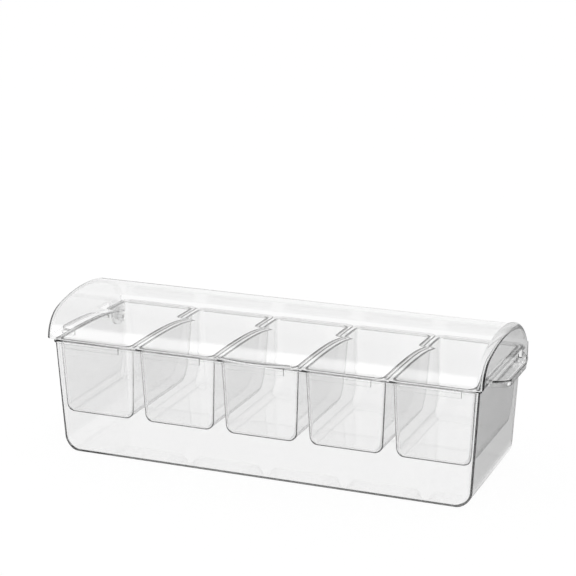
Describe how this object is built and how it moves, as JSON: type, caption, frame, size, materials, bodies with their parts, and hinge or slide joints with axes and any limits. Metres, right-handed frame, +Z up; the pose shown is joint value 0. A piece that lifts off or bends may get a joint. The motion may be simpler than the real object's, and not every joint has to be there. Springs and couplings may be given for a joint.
{
  "type": "condiment caddy",
  "caption": "Clear condiment caddy: an ice tub with end ledges carries a row of lift-out hooked bins under a dome lid that swings back on hinge pins.",
  "frame": {"origin": "middle of the tub's underside, on the surface that it stands on", "axes": "+Z up, +X along the row of bins to the caddy's right end, -Y towards its front, where the thumb tab is"},
  "size_m": [0.414, 0.1493, 0.1387],
  "materials": {
    "tub_plastic": "clear, polished",
    "bin_plastic": "clear, polished",
    "lid_plastic": "clear, polished",
    "pin_plastic": "clear, polished"
  },
  "bodies": {
    "tub": {"ice_tub": "tub_plastic", "hinge_pin_left": "pin_plastic", "hinge_pin_right": "pin_plastic"},
    "bin_1": {"bin_1": "bin_plastic"},
    "bin_2": {"bin_2": "bin_plastic"},
    "bin_3": {"bin_3": "bin_plastic"},
    "bin_4": {"bin_4": "bin_plastic"},
    "bin_5": {"bin_5": "bin_plastic"},
    "dome_lid": {"lid": "lid_plastic"}
  },
  "joints": [
    {"name": "lid_hinge", "type": "hinge", "parent": "tub", "child": "dome_lid", "pos_m": [0, 0.058, 0.0944], "axis": [-1, 0, 0], "range_deg": [0, 105]},
    {"name": "bin_1_lift", "type": "slide", "parent": "tub", "child": "bin_1", "axis": [0, 0, 1], "range_m": [0, 0.0012]},
    {"name": "bin_2_lift", "type": "slide", "parent": "tub", "child": "bin_2", "axis": [0, 0, 1], "range_m": [0, 0.0012]},
    {"name": "bin_3_lift", "type": "slide", "parent": "tub", "child": "bin_3", "axis": [0, 0, 1], "range_m": [0, 0.0012]},
    {"name": "bin_4_lift", "type": "slide", "parent": "tub", "child": "bin_4", "axis": [0, 0, 1], "range_m": [0, 0.0012]},
    {"name": "bin_5_lift", "type": "slide", "parent": "tub", "child": "bin_5", "axis": [0, 0, 1], "range_m": [0, 0.0012]}
  ]
}
